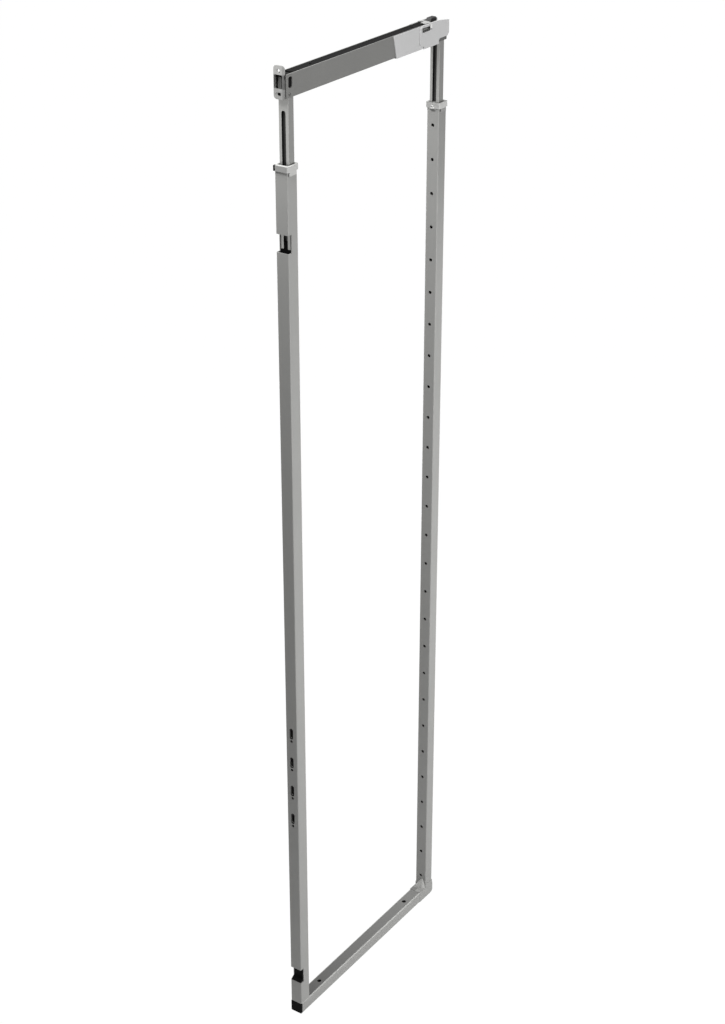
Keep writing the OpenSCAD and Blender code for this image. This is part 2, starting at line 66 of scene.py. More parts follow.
class Signal:
    """A shader value: arithmetic on it adds Math nodes."""

    def __init__(self, finish, socket):
        self.finish = finish
        self.socket = socket

    def _math(self, operation, first, second):
        made = self.finish.add("ShaderNodeMath", {"operation": operation}, {0: first, 1: second})
        return Signal(self.finish, made.outputs[0])

    def __add__(self, other):
        return self._math("ADD", self, other)

    __radd__ = __add__

    def __sub__(self, other):
        return self._math("SUBTRACT", self, other)

    def __rsub__(self, other):
        return self._math("SUBTRACT", other, self)

    def __mul__(self, other):
        return self._math("MULTIPLY", self, other)

    __rmul__ = __mul__

    def above(self, level):
        """1 where the value is over a level, 0 elsewhere."""
        return self._math("GREATER_THAN", self, level)

    def most(self, other):
        """The larger of two values."""
        return self._math("MAXIMUM", self, other)


class Graph:
    """A node tree, built node by node."""

    def __init__(self, owner):
        owner.use_nodes = True
        self.tree = owner.node_tree

    def add(self, kind, settings=None, sockets=None):
        """Adds a node: its settings first, then the values or links of its sockets."""
        made = self.tree.nodes.new(kind)
        for key, value in (settings or {}).items():
            setattr(made, key, value)
        for key, value in (sockets or {}).items():
            self.feed(made.inputs[key], value)
        return made

    def feed(self, socket, value):
        """Links a signal or a socket, or sets a plain value."""
        if isinstance(value, Signal):
            value = value.socket
        if isinstance(value, bpy.types.NodeSocket):
            self.tree.links.new(value, socket)
        else:
            socket.default_value = value

    def signal(self, node, output=0):
        """Wraps a node's output for arithmetic."""
        return Signal(self, node.outputs[output])

    def seen(self):
        """1 for rays that show the background: straight to the camera, mirrored, or through glass."""
        path = self.add("ShaderNodeLightPath")
        direct = self.signal(path, "Is Camera Ray")
        mirrored = self.signal(path, "Is Glossy Ray")
        through = self.signal(path, "Is Transmission Ray")
        return direct.most(mirrored).most(through)


class Finish(Graph):
    """One material round a single surface shader."""

    def __init__(self, name):
        self.material = bpy.data.materials.new(name)
        super().__init__(self.material)
        self.shader = self.tree.nodes["Principled BSDF"]
        self.output = self.tree.nodes["Material Output"]
        self.axes = None

    def place(self, stretch=(1.0, 1.0, 1.0), turn=(0.0, 0.0, 0.0)):
        """Object coordinates, stretched for a grain that runs one way."""
        coords = self.add("ShaderNodeTexCoord")
        mapped = self.add("ShaderNodeMapping", None, {
            "Vector": coords.outputs["Object"], "Rotation": turn, "Scale": stretch,
        })
        return mapped.outputs["Vector"]

    def noise(self, where, scale, detail=2.0, rough=0.5):
        """A soft random pattern from 0 to 1."""
        made = self.add("ShaderNodeTexNoise", None, {
            "Vector": where, "Scale": scale, "Detail": detail, "Roughness": rough,
        })
        return self.signal(made)

    def along(self, axis):
        """Distance along one object axis."""
        if self.axes is None:
            self.axes = self.add("ShaderNodeSeparateXYZ", None, {"Vector": self.place()})
        return self.signal(self.axes, axis)

    def rise(self, value, level, soft):
        """0 below a level and 1 above it, with a soft step between."""
        made = self.add("ShaderNodeMapRange", {"interpolation_type": "SMOOTHSTEP"}, {
            "Value": value, "From Min": level - soft / 2, "From Max": level + soft / 2,
        })
        return self.signal(made)

    def between(self, value, low, high, soft):
        """1 between two levels and 0 elsewhere, with soft steps."""
        return self.rise(value, low, soft) * (1.0 - self.rise(value, high, soft))

    def inside(self, low, high, soft=0.00002):
        """1 within a box of object coordinates and 0 outside it, with soft sides."""
        found = 1.0
        for axis, start, end in zip("XYZ", low, high):
            found = self.between(self.along(axis), start, end, soft) * found
        return found

    def outside(self, half):
        """1 farther from the middle than a half width, 0 nearer."""
        across = self.along("X")
        return (across * across).above(half * half)

    def cells(self, where, scale):
        """Random grains, each with a level of its own."""
        made = self.add("ShaderNodeTexVoronoi", {"feature": "F1"}, {"Vector": where, "Scale": scale})
        split = self.add("ShaderNodeSeparateColor", None, {"Color": made.outputs["Color"]})
        return self.signal(split)

    def tint(self, amount, low, high):
        """Blends two colours by a signal."""
        made = self.add("ShaderNodeMix", {"data_type": "RGBA", "clamp_factor": True}, {
            "Factor": amount, 6: (*low, 1.0), 7: (*high, 1.0),
        })
        return made.outputs[2]

    def relief(self, height, depth, strength):
        """Turns a height signal into a bumped normal."""
        made = self.add("ShaderNodeBump", None, {
            "Height": height, "Distance": depth, "Strength": strength,
        })
        self.feed(self.shader.inputs["Normal"], made.outputs["Normal"])

    def surface(self, **values):
        """Sets the shader's sockets, named with underscores for spaces."""
        for key, value in values.items():
            self.feed(self.shader.inputs[key.replace("_", " ")], value)
        return self.material


def shade(colour, factor):
    """A colour made lighter or darker."""
    return tuple(min(1.0, c * factor) for c in colour)


def powder_coat(name, colour, metallic=0.08, rough=0.42, inner=0.0, edge=None, fade=None):
    """Satin powder coat: orange peel, small flakes and faint patches.

    inner is a half width inside which painted shade darkens the coat. edge is a half width and a top,
    between which a bar's upper edges get a painted highlight and its top painted shade, darker towards
    the front.
    fade is a half width and two heights, between which painted shade darkens a post's sides towards the
    top.
    """
    f = Finish(name)
    here = f.place()
    peel = f.noise(here, 1400.0, 3.0)
    flakes = f.cells(here, 2600.0)
    patches = f.noise(here, 9.0, 3.0, 0.6)
    drawn = f.noise(f.place((420.0, 420.0, 5.0)), 1.0, 2.0)
    tone = 0.8 + patches * 0.1 + flakes * 0.06 + drawn * 0.04
    skin = 0.0003
    if inner:
        # Painted shade: the coat is darker within the half width, on the inner faces
        tone = tone * (0.5 + f.outside(inner) * 0.5)
    if edge:
        half, top = edge
        round_edge = 0.0021
        high = f.along("Z")
        outer = f.outside(half - round_edge)
        # Painted highlight along the bar's rounded upper edges, painted shade on its top, darker towards
        # the front
        rubbed_and_sheen = outer * high.above(top - round_edge)
        painted_top_shade = (1.0 - outer) * high.above(top - skin) * (0.36 - f.along("Y"))
        tone = tone * (1.0 + rubbed_and_sheen * (0.3 + patches * 0.3) - painted_top_shade)
    if fade:
        # Painted shade on a post's sides, growing towards the top
        half, start, end = fade
        sides = f.outside(half - skin)
        upper = f.rise(f.along("Z"), (start + end) / 2, end - start)
        tone = tone * (1.0 - sides * upper * 0.22)
    f.relief(peel * 0.8 + flakes * 0.2, 0.00006, 0.5)
    return f.surface(
        Base_Color=f.tint(tone * 0.66, BLACK, shade(colour, 1.68)),
        Metallic=metallic,
        Specular_IOR_Level=0.12,
        Roughness=rough - 0.08 + patches * 0.1 + drawn * 0.06,
    )


def cast_coat(name, colour, painted_light_boxes):
    """Coated casting: a sandy skin under the colour, paler or darker within each part's box: painted
    light and shade.
    """
    f = Finish(name)
    here = f.place()
    sand = f.noise(here, 900.0, 4.0, 0.6)
    patches = f.noise(here, 40.0, 3.0)
    tone = 0.5 + patches * 0.05 + sand * 0.04
    for low, high, factor in painted_light_boxes:
        # Each box's factor paints light or shade into the colour
        tone = tone * (1.0 + f.inside(low, high) * (factor - 1.0))
    f.relief(sand, 0.00008, 0.4)
    return f.surface(
        Base_Color=f.tint(tone, BLACK, shade(colour, 1.84)),
        Metallic=0.08,
        Specular_IOR_Level=0.12,
        Roughness=0.4 + sand * 0.14,
    )


def drawn_riser(name, colour, low, high):
    """Aluminium drawn along Z: fine lines and soft bands, painted light on the front and back lips,
    painted shade on the sides and in the slots.
    """
    f = Finish(name)
    stretch = (1.0, 1.0, 0.006)
    lines = f.noise(f.place(stretch), 2200.0, 3.0, 0.6)
    bands = f.noise(f.place(stretch), 260.0, 2.0)
    smudge = f.noise(f.place(), 30.0, 3.0)
    deep = f.along("Y")
    skin = 0.0004
    wall = 0.0024
    side = f.outside(high.x - skin)
    painted_shade_hollow = 1.0 - f.outside(high.x - wall)
    within = deep.above(low.y + skin) * (1.0 - deep.above(high.y - skin))
    tone = 0.43 + lines * 0.055 + bands * 0.055
    # Painted light on the front and back lips, painted shade on the sides and inside the hollow
    tone = tone * (1.0 + (1.0 - within) * 0.6 - side * 0.24) * (1.0 - painted_shade_hollow * within * 0.8)
    f.relief(lines, 0.00003, 0.5)
    return f.surface(
        Base_Color=f.tint(tone, BLACK, shade(colour, 2.0)),
        Metallic=0.6,
        Roughness=0.35 + lines * 0.12 + smudge * 0.1,
    )


def zinc_plate(name, colour, metallic=0.9, rough=0.24, painted_sheen=None):
    """Zinc plating with a faint spangle and small scuffs; given a height, darker above it: painted
    shade.
    """
    f = Finish(name)
    here = f.place()
    spangle = f.cells(here, 420.0)
    scuffs = f.noise(f.place((900.0, 60.0, 240.0), (0.3, 0.2, 0.5)), 1.0, 3.0)
    f.relief(scuffs, 0.00003, 0.4)
    tone = 0.74 + spangle * 0.1 + scuffs * 0.06
    if painted_sheen:
        # Painted shade above the height
        tone = tone * (1.0 - f.rise(f.along("Z"), painted_sheen, 0.002) * 0.35)
    return f.surface(
        Base_Color=f.tint(tone, BLACK, shade(colour, 1.2)),
        Metallic=metallic,
        Roughness=rough + scuffs * 0.14 + spangle * 0.05,
    )


def pressed_zinc(name, colour, plate_back, limbs, edge, low, high):
    """Zinc-plated pressing: bright plate, with painted shade behind it, on the limbs by its window and
    on its lower part. limbs are the inner sides of the left and right limb. edge is where a darker spot
    on the right edge starts. low and high are the window's ends.
    """
    f = Finish(name)
    behind = f.along("Y").above(plate_back)
    across = f.along("X")
    height = f.along("Z")
    by_window = f.between(height, low, high, 0.004)
    side = f.rise(across, limbs[1], 0.002)
    beside = side * by_window
    left = (1.0 - f.rise(across, limbs[0], 0.0006)) * by_window
    dark_spot = f.rise(across, edge, 0.0002) * f.between(height, high - 0.007, high + 0.001, 0.002)
    upper = f.rise(height, low, 0.008)
    spangle = f.cells(f.place(), 420.0)
    scuffs = f.noise(f.place((60.0, 900.0, 240.0), (0.2, 0.3, 0.4)), 1.0, 3.0)
    f.relief(scuffs, 0.00003, 0.4)
    # Painted shade behind the plate, on the limbs beside the window and low on the plate; a darker spot
    # on the right edge
    tone = (spangle * 0.1 + scuffs * 0.16 + 0.67) * (1.0 - behind * 0.72)
    tone = tone * (1.0 - side * 0.3 - beside * 0.4) * (0.82 + upper * 0.18)
    tone = tone * (1.0 - left * 0.5) * (1.0 - dark_spot * 0.7)
    return f.surface(
        Base_Color=f.tint(tone, shade(colour, 0.02), shade(colour, 1.2)),
        Metallic=0.7,
        Roughness=0.32 + scuffs * 0.14 + behind * 0.12,
    )


def moulded_black(name, colour, rough=0.5):
    """Moulded plastic with a fine eroded grain and paler rubbed spots."""
    f = Finish(name)
    here = f.place()
    grain = f.noise(here, 1700.0, 2.0, 0.7)
    rubbed_and_sheen = f.noise(here, 120.0, 3.0)
    f.relief(grain, 0.00008, 0.6)
    return f.surface(
        Base_Color=f.tint(rubbed_and_sheen * grain * 1.6, colour, shade(colour, 1.9)),
        Specular_IOR_Level=0.02,
        Roughness=rough - 0.06 + grain * 0.14,
    )


def rail_paint(name, colour):
    """Semi-gloss black rail with run marks along its length."""
    f = Finish(name)
    marks = f.noise(f.place((900.0, 3.0, 900.0)), 1.0, 3.0, 0.6)
    peel = f.noise(f.place(), 1500.0, 2.0)
    f.relief(peel, 0.00005, 0.4)
    return f.surface(
        Base_Color=f.tint(marks * marks * marks, colour, shade(colour, 2.2)),
        Specular_IOR_Level=0.012,
        Roughness=0.4 + marks * 0.16,
    )


def nylon(name, colour):
    """Pale nylon with a soft cloud and turning marks."""
    f = Finish(name)
    cloud = f.noise(f.place(), 160.0, 3.0)
    turned = f.noise(f.place((30.0, 30.0, 2600.0)), 1.0, 1.0)
    f.relief(turned, 0.00004, 0.4)
    return f.surface(
        Base_Color=f.tint(cloud, shade(colour, 0.92), shade(colour, 1.04)),
        Roughness=0.36 + turned * 0.12,
    )


def coat(material, *nodes):
    """Gives CAD nodes a finish."""
    for node in nodes:
        held = frame["nodes"][node]
        if not held.material_slots:
            held.data.materials.append(material)
        for slot in held.material_slots:
            slot.material = material


def piece(name, bm, finish, body):
    """Makes an object of a bmesh, with a finish by its name, and sets it riding on a body."""
    mesh = bpy.data.meshes.new(name)
    bm.normal_update()
    bm.to_mesh(mesh)
    bm.free()
    mesh.materials.append(bpy.data.materials[finish])
    made = bpy.data.objects.new(name, mesh)
    bpy.context.scene.collection.objects.link(made)
    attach(made, body)
    return made


def corners(geom):
    """The vertices among what an operator gives back."""
    return [v for v in geom if isinstance(v, bmesh.types.BMVert)]


def fill(bm):
    """Closes a shape's open loops."""
    bmesh.ops.holes_fill(bm, edges=[e for e in bm.edges if e.is_boundary], sides=0)


def moved(bm, where, turn):
    """Turns or slopes a shape about the origin, and moves it."""
    bmesh.ops.transform(bm, matrix=turn, verts=bm.verts)
    bmesh.ops.translate(bm, vec=where, verts=bm.verts)
    return bm


def closed(bm):
    """Turns a closed shape's faces outwards."""
    bmesh.ops.remove_doubles(bm, verts=bm.verts, dist=1e-7)
    bmesh.ops.recalc_face_normals(bm, faces=bm.faces)
    return bm


def prism(outline, along, edge):
    """A flat outline pulled along a vector, with rounded edges."""
    bm = bmesh.new()
    face = bm.faces.new([bm.verts.new(p) for p in outline])
    pulled = bmesh.ops.extrude_face_region(bm, geom=[face])["geom"]
    bmesh.ops.translate(bm, vec=along, verts=corners(pulled))
    closed(bm)
    bmesh.ops.bevel(
        bm, geom=bm.edges[:], offset=edge, offset_type="OFFSET", affect="EDGES",
        segments=2, profile=0.5, material=-1,
    )
    return closed(bm)


def block(low, high, edge):
    """A block between two corners, with rounded edges."""
    side = [(low.y, low.z), (high.y, low.z), (high.y, high.z), (low.y, high.z)]
    return prism([(low.x, y, z) for y, z in side], (high.x - low.x, 0.0, 0.0), edge)


def joined(shapes):
    """Several shapes as one."""
    bm = bmesh.new()
    held = bpy.data.meshes.new("joined")
    for shape in shapes:
        shape.to_mesh(held)
        shape.free()
        bm.from_mesh(held)
    bpy.data.meshes.remove(held)
    return bm


def lining(size, radius, hole, shift, depth):
    """A flat ring with round corners that lies in XY: its size, and its hole's size and shift."""
    bm = bmesh.new()
    bmesh.ops.create_grid(bm, x_segments=1, y_segments=1, size=0.5)
    bmesh.ops.scale(bm, vec=(*size, 1.0), verts=bm.verts)
    bmesh.ops.bevel(
        bm, geom=bm.verts[:], offset=radius, offset_type="OFFSET", affect="VERTICES",
        segments=6, profile=0.5, material=-1,
    )
    middle = bm.faces[:][0]
    rim = radius * 0.1
    bmesh.ops.inset_individual(bm, faces=[middle], thickness=rim)
    inner = middle.verts[:]
    fit = [hole[i] / (size[i] - 2 * rim) for i in range(2)]
    bmesh.ops.scale(bm, vec=(*fit, 1.0), verts=inner)
    bmesh.ops.translate(bm, vec=(*shift, 0.0), verts=inner)
    bmesh.ops.delete(bm, geom=[middle], context="FACES_ONLY")
    bmesh.ops.solidify(bm, geom=bm.faces[:], thickness=depth)
    lowest = min(v.co.z for v in bm.verts)
    bmesh.ops.translate(bm, vec=(0.0, 0.0, -lowest), verts=bm.verts)
    return closed(bm)


class PantryColours(bpy.types.PropertyGroup):
    """Colours of the frame's finishes."""

    frame_grey: bpy.props.FloatVectorProperty(
        name="Frame grey", description="Powder coat of the posts and the bottom bar",
        subtype="COLOR", size=3, min=0.0, max=1.0, default=(0.36, 0.36, 0.35),
    )
    light_cast: bpy.props.FloatVectorProperty(
        name="Light casting", description="Collars on the posts",
        subtype="COLOR", size=3, min=0.0, max=1.0, default=(0.46, 0.46, 0.45),
    )
    corner_cast: bpy.props.FloatVectorProperty(
        name="Corner casting", description="Rear corner",
        subtype="COLOR", size=3, min=0.0, max=1.0, default=(0.36, 0.36, 0.35),
    )
    light_cover: bpy.props.FloatVectorProperty(
        name="Light cover", description="Roller housing and rear bracket",
        subtype="COLOR", size=3, min=0.0, max=1.0, default=(0.6, 0.61, 0.61),
    )
    channel_grey: bpy.props.FloatVectorProperty(
        name="Channel grey", description="Top channel",
        subtype="COLOR", size=3, min=0.0, max=1.0, default=(0.2, 0.2, 0.193),
    )
    riser_metal: bpy.props.FloatVectorProperty(
        name="Riser metal", description="Slotted risers",
        subtype="COLOR", size=3, min=0.0, max=1.0, default=(0.265, 0.265, 0.257),
    )
    bracket_metal: bpy.props.FloatVectorProperty(
        name="Bracket metal", description="Door bracket",
        subtype="COLOR", size=3, min=0.0, max=1.0, default=(0.43, 0.43, 0.42),
    )
    dark_metal: bpy.props.FloatVectorProperty(
        name="Dark metal", description="Adjusting spindle and the nose rivet",
        subtype="COLOR", size=3, min=0.0, max=1.0, default=(0.09, 0.09, 0.087),
    )
    bright_metal: bpy.props.FloatVectorProperty(
        name="Bright metal", description="Clip and fasteners",
        subtype="COLOR", size=3, min=0.0, max=1.0, default=(0.56, 0.56, 0.55),
    )
    black: bpy.props.FloatVectorProperty(
        name="Black", description="Plugs, seats and the ceiling rail",
        subtype="COLOR", size=3, min=0.0, max=1.0, default=(0.007, 0.007, 0.007),
    )
    nylon: bpy.props.FloatVectorProperty(
        name="Nylon", description="Guide rollers",
        subtype="COLOR", size=3, min=0.0, max=1.0, default=(0.7, 0.7, 0.68),
    )


class PantrySizes(bpy.types.PropertyGroup):
    """Sizes of the fine detail."""

    thread_pitch: bpy.props.FloatProperty(
        name="Thread pitch", description="Pitch of the adjusting spindle's thread",
        unit="LENGTH", min=0.0005, max=0.003, default=0.0015,
    )
    weld_leg: bpy.props.FloatProperty(
        name="Weld leg", description="Leg of the weld under the front post",
        unit="LENGTH", min=0.001, max=0.005, default=0.0025,
    )


class PantryStudio(bpy.types.PropertyGroup):
    """Floor and light of the studio."""

    floor_side: bpy.props.FloatProperty(
        name="Floor side", description="Side of the studio floor",
        unit="LENGTH", min=10.0, max=200.0, default=90.0,
    )
    fill: bpy.props.FloatProperty(
        name="Fill", description="Level of the even light from all round",
        min=0.0, max=1.0, default=0.28,
    )
    side_power: bpy.props.FloatProperty(
        name="Side lamp", description="Power of the soft box on the right",
        unit="POWER", min=0.0, max=500.0, default=14.4,
    )
    front_power: bpy.props.FloatProperty(
        name="Front lamp", description="Power of the small soft box above and before the head",
        unit="POWER", min=0.0, max=100.0, default=9.5,
    )
    edge_power: bpy.props.FloatProperty(
        name="Edge lamp", description="Power of the small soft box behind, on the right",
        unit="POWER", min=0.0, max=100.0, default=0.8,
    )
    back_power: bpy.props.FloatProperty(
        name="Back lamp", description="Power of the soft box behind, on the left",
        unit="POWER", min=0.0, max=500.0, default=9.0,
    )


class PANTRY_OT_finish_frame(bpy.types.Operator):
    """Coat the posts, the bar and what is fixed to them"""

    bl_idname = "pantry.finish_frame"
    bl_label = "Finish Frame"

    skin = 0.0005

    def execute(self, context):
        colours = context.scene.pantry_colours
        grey = tuple(colours.frame_grey)
        bar_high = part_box("bottom_bar")[1]
        post_low, post_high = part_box("rear_post")
        # Painted shade on the rear post's sides near its top
        fade = (post_high.x, post_high.z - 0.32, post_high.z - 0.02)
        coat(powder_coat("frame_powder", grey), "front_post")
        coat(powder_coat("rear_powder", grey, fade=fade), "rear_post")
        # The bar gets a painted highlight on its upper edges and painted shade on its top
        coat(powder_coat("bar_powder", grey, edge=(bar_high.x, bar_high.z)), "bottom_bar")
        light = tuple(colours.light_cast)
        # Painted shade on the front collar's front face; both collars get painted light on their sides
        coat(cast_coat("front_collar_casting", light, self.collar("front_collar", 0.74)), "front_collar")
        # The rear collar also gets painted shade on its flaps and a painted shadow under its screw
        rear = self.collar("rear_collar", 1.0) + self.painted_shade_collar("rear_collar", post_high.z)
        coat(cast_coat("rear_collar_casting", light, rear), "rear_collar")
        # The corner gets painted light on its nose and painted light and shadow on the bar top by it
        corner = self.corner("rear_corner", post_low.y, bar_high.z)
        coat(cast_coat("corner_casting", tuple(colours.corner_cast), corner), "rear_corner")
        coat(
            moulded_black("seat_plastic", tuple(colours.black)),
            "front_bar_plug", "hook_seat", "front_collar_wedge", "rear_collar_wedge",
            "front_bush", "rear_bush", "front_glide", "rear_glide",
            "nose_block", "rail_stop", "rail_end_cap",
        )
        return {"FINISHED"}

    def sides(self, low, high, top, factor):
        """The left and the right face of a box, up to a height."""
        faces = []
        for x in (low.x, high.x):
            faces.append(((x - self.skin, low.y, low.z), (x + self.skin, high.y, top), factor))
        return faces

    def collar(self, node, front):
        """A collar's front face with a factor of its own, painted shade where it is below 1, and its
        sides paler with painted light.
        """
        skin = self.skin
        low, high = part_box(node)
        face = ((low.x + skin, low.y - skin, low.z), (high.x - skin, low.y + skin, high.z), front)
        return [face] + self.sides(low, high, high.z, 1.22)

    def painted_shade_collar(self, node, rim):
        """A collar's flaps below the post's rim darkened with painted shade, and a painted shadow under
        its screw.
        """
        low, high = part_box(node)
        screw_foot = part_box("rear_clamp_screw")[0].z
        left = -0.0065
        right = 0.0055
        deep = 0.0025
        # Painted shadow under the screw head on the collar's front face
        lip = ((left, low.y - self.skin, low.z), (right, low.y + deep, screw_foot), 0.3)
        return self.sides(low, high, rim - self.skin, 0.55) + [lip]

    def corner(self, node, post_front, bar_top):
        """Painted light on the corner's nose in two halves, more on the left; painted shadow on the bar
        top before it on the left, painted light before it on the right and under it.
        """
        low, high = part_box(node)
        left = low.x + self.skin
        right = high.x - self.skin
        behind = post_front - self.skin
        crown = high.z + self.skin
        step = bar_top + 0.0008
        nose_foot = post_front - 0.0105
        ridge = 0.002
        # Painted light on the nose and on the bar top right of it, painted shadow on the bar top left of
        # it
        return [
            ((left, low.y, step), (ridge, behind, crown), 1.9),
            ((ridge, low.y, step), (right, behind, crown), 1.4),
            ((left, low.y, bar_top), (0.0, nose_foot, step), 0.78),
            ((0.0, low.y, bar_top), (right, nose_foot, step), 1.3),
            ((left, nose_foot, bar_top), (right, behind, step), 1.3),
        ]


class PANTRY_OT_finish_head(bpy.types.Operator):
    """Coat the telescopic head, the top channel and the ceiling rail"""

    bl_idname = "pantry.finish_head"
    bl_label = "Finish Head"

    def execute(self, context):
        colours = context.scene.pantry_colours
        for riser in ("front_riser", "rear_riser"):
            coat(drawn_riser(riser + "_metal", tuple(colours.riser_metal), *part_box(riser)), riser)
        coat(powder_coat("channel_paint", tuple(colours.channel_grey), 0.2, 0.4), "top_channel")
        coat(powder_coat("block_paint", shade(colours.channel_grey, 0.6), 0.2, 0.45), "rear_head_block")
        cover_shaded_inside = 0.0112
        # Painted shade on the inner faces of the housing and of the bracket's cheeks
        cover = powder_coat("cover_paint", tuple(colours.light_cover), 0.1, 0.4, cover_shaded_inside)
        coat(cover, "roller_housing", "rear_bracket")
        coat(rail_paint("rail_paint", shade(colours.black, 0.6)), "ceiling_rail")
        coat(nylon("roller_nylon", tuple(colours.nylon)), "front_roller", "rear_roller")
        return {"FINISHED"}


class PANTRY_OT_finish_fittings(bpy.types.Operator):
    """Plate the door bracket, the clip and the fasteners"""

    bl_idname = "pantry.finish_fittings"
    bl_label = "Finish Fittings"

    def execute(self, context):
        colours = context.scene.pantry_colours
        plate_low, plate_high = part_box("door_bracket")
        plate_back = plate_low.y + 0.0028
        limbs = (plate_low.x + 0.0016, plate_high.x - 0.004)
        edge = plate_high.x - 0.0002
        window_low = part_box("top_channel")[0].z + 0.015
        window_high = window_low + 0.023
        metal = tuple(colours.bracket_metal)
        zinc = pressed_zinc("bracket_zinc", metal, plate_back, limbs, edge, window_low, window_high)
        coat(zinc, "door_bracket")
        dark = zinc_plate("dark_zinc", tuple(colours.dark_metal), 0.5, 0.4)
        coat(dark, "adjuster_spindle", "nose_rivet")
        coat(zinc_plate("bright_zinc", tuple(colours.bright_metal)), "rail_clip")
        coat(
            zinc_plate("screw_zinc", shade(colours.bright_metal, 0.95), 0.55, 0.4),
            "front_clamp_screw", "front_clamp_nut", "rear_clamp_nut",
            "bar_corner_screw", "post_corner_screw", "front_riser_screw", "rear_riser_screw",
            "front_roller_pin", "rear_roller_pin",
        )
        screw_low, screw_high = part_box("rear_clamp_screw")
        middle = (screw_low.z + screw_high.z) / 2
        # The rear clamp screw: a painted highlight on the lower half of its head, painted shade on the
        # upper half
        painted_sheen = zinc_plate("sheen_painted_zinc", shade(colours.bright_metal, 1.2), 0.55, 0.4, middle)
        coat(painted_sheen, "rear_clamp_screw")
        return {"FINISHED"}


class PANTRY_OT_spindle_thread(bpy.types.Operator):
    """Cut a thread round the adjusting spindle"""

    bl_idname = "pantry.spindle_thread"
    bl_label = "Spindle Thread"

    def execute(self, context):
        pitch = context.scene.pantry_sizes.thread_pitch
        low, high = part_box("adjuster_spindle")
        centre = (low + high) / 2
        barrel = 0.003
        root = barrel - 0.0003
        crest = barrel + 0.00004
        start = low.z + 0.0065
        end = high.z - 0.0075
        turns = int((end - start) / pitch)
        steps = 24
        bm = bmesh.new()
        profile = ((root, 0.0), (crest, 0.4), (root, 0.8))
        first = [bm.verts.new((centre.x + r, centre.y, start + pitch * rise)) for r, rise in profile]
        edges = [bm.edges.new((first[i - 1], first[i])) for i in range(len(first))]
        # A left-hand thread, so that a turn to the left lifts the bracket as the joints say
        turned = bmesh.ops.spin(
            bm, geom=first + edges, cent=centre, axis=UP, dvec=(0.0, 0.0, pitch / steps),
            angle=-math.tau * turns, steps=steps * turns,
        )
        bm.faces.new(first)
        bm.faces.new(corners(turned["geom_last"]))
        piece("spindle_thread", closed(bm), "dark_zinc", "spindle")
        return {"FINISHED"}


class PANTRY_OT_foot_weld(bpy.types.Operator):
    """Lay the weld between the front post and the bottom bar"""

    bl_idname = "pantry.foot_weld"
    bl_label = "Foot Weld"

    def execute(self, context):
        leg = context.scene.pantry_sizes.weld_leg
        post_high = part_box("front_post")[1]
        bar_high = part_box("bottom_bar")[1]
        beads = 13
        bead_shape = (0.75, 1.0, 0.85)
        half = post_high.x - 0.003
        bm = bmesh.new()
        for i in range(beads):
            x = -half + 2 * half * i / (beads - 1)
            made = bmesh.ops.create_uvsphere(bm, u_segments=12, v_segments=8, radius=leg)
            bmesh.ops.scale(bm, vec=bead_shape, verts=made["verts"])
            bmesh.ops.translate(bm, vec=(x, post_high.y, bar_high.z), verts=made["verts"])
        piece("foot_weld", bm, "frame_powder", "frame")
        return {"FINISHED"}


class PANTRY_OT_corner_casting(bpy.types.Operator):
    """Shape the rear corner: a round heel, a spigot each way and a soft nose in the inner corner"""

    bl_idname = "pantry.corner_casting"
    bl_label = "Corner Casting"

    def execute(self, context):
        low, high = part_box("rear_corner")
        post_low, post_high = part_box("rear_post")
        bar_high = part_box("bottom_bar")[1]
        heel = 0.007
        taper = 0.015
        rim = 0.0004
        wall = 0.0015
        arc = [math.radians(a) for a in range(-90, 1, 10)]
        side = [(bar_high.y, low.z)]
        for a in arc:
            side.append((high.y - heel + heel * math.cos(a), low.z + heel + heel * math.sin(a)))
        side += [
            (high.y, post_low.z - taper), (post_high.y + rim, post_low.z),
            (post_low.y - rim, post_low.z), (post_low.y - rim, bar_high.z + rim),
            (bar_high.y, bar_high.z + rim),
        ]
        slab = prism([(low.x, y, z) for y, z in side], (high.x - low.x, 0.0, 0.0), 0.0002)
        half = bar_high.x - wall
        spigot_edge = 0.0004
        bar_spigot = block(
            Vector((-half, low.y, wall)), Vector((half, bar_high.y, bar_high.z - wall)), spigot_edge,
        )
        post_spigot = block(
            Vector((-half, post_low.y + wall, post_low.z)),
            Vector((half, post_high.y - wall, high.z)), spigot_edge,
        )
        nose = self.nose(Vector((0.0, post_low.y, bar_high.z)))
        shape = joined([slab, bar_spigot, post_spigot, nose])
        made = piece("corner_casting", shape, "corner_casting", "frame")
        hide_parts("rear_corner")
        return {"FINISHED"}

    def nose(self, foot):
        """Half of a soft cone against the post's front face, with its tip to the right."""
        width = 0.0122
        reach = 0.0095
        tall = 0.0215
        lean = 0.004
        straight = 0.62
        bulge = 0.38
        steps = 14
        sides = 48
        bm = bmesh.new()
        line = []
        for i in range(steps + 1):
            t = i / steps
            radius = straight * (1.0 - t) + bulge * math.sqrt(1.0 - t)
            line.append(bm.verts.new((radius, 0.0, t)))
        edges = [bm.edges.new(line[i:i + 2]) for i in range(steps)]
        bmesh.ops.spin(
            bm, geom=line + edges, cent=ORIGIN, axis=UP, angle=math.tau, steps=sides, use_merge=True,
        )
        bmesh.ops.remove_doubles(bm, verts=bm.verts, dist=1e-5)
        fill(bm)
        bmesh.ops.scale(bm, vec=(width, reach, tall), verts=bm.verts)
        slope = Matrix(((1, 0, lean / tall, 0), (0, 1, 0, 0), (0, 0, 1, 0), (0, 0, 0, 1)))
        moved(bm, foot, slope)
        bmesh.ops.bisect_plane(
            bm, geom=bm.verts[:] + bm.edges[:] + bm.faces[:],
            plane_co=foot, plane_no=(0, 1, 0), clear_outer=True,
        )
        fill(bm)
        return closed(bm)


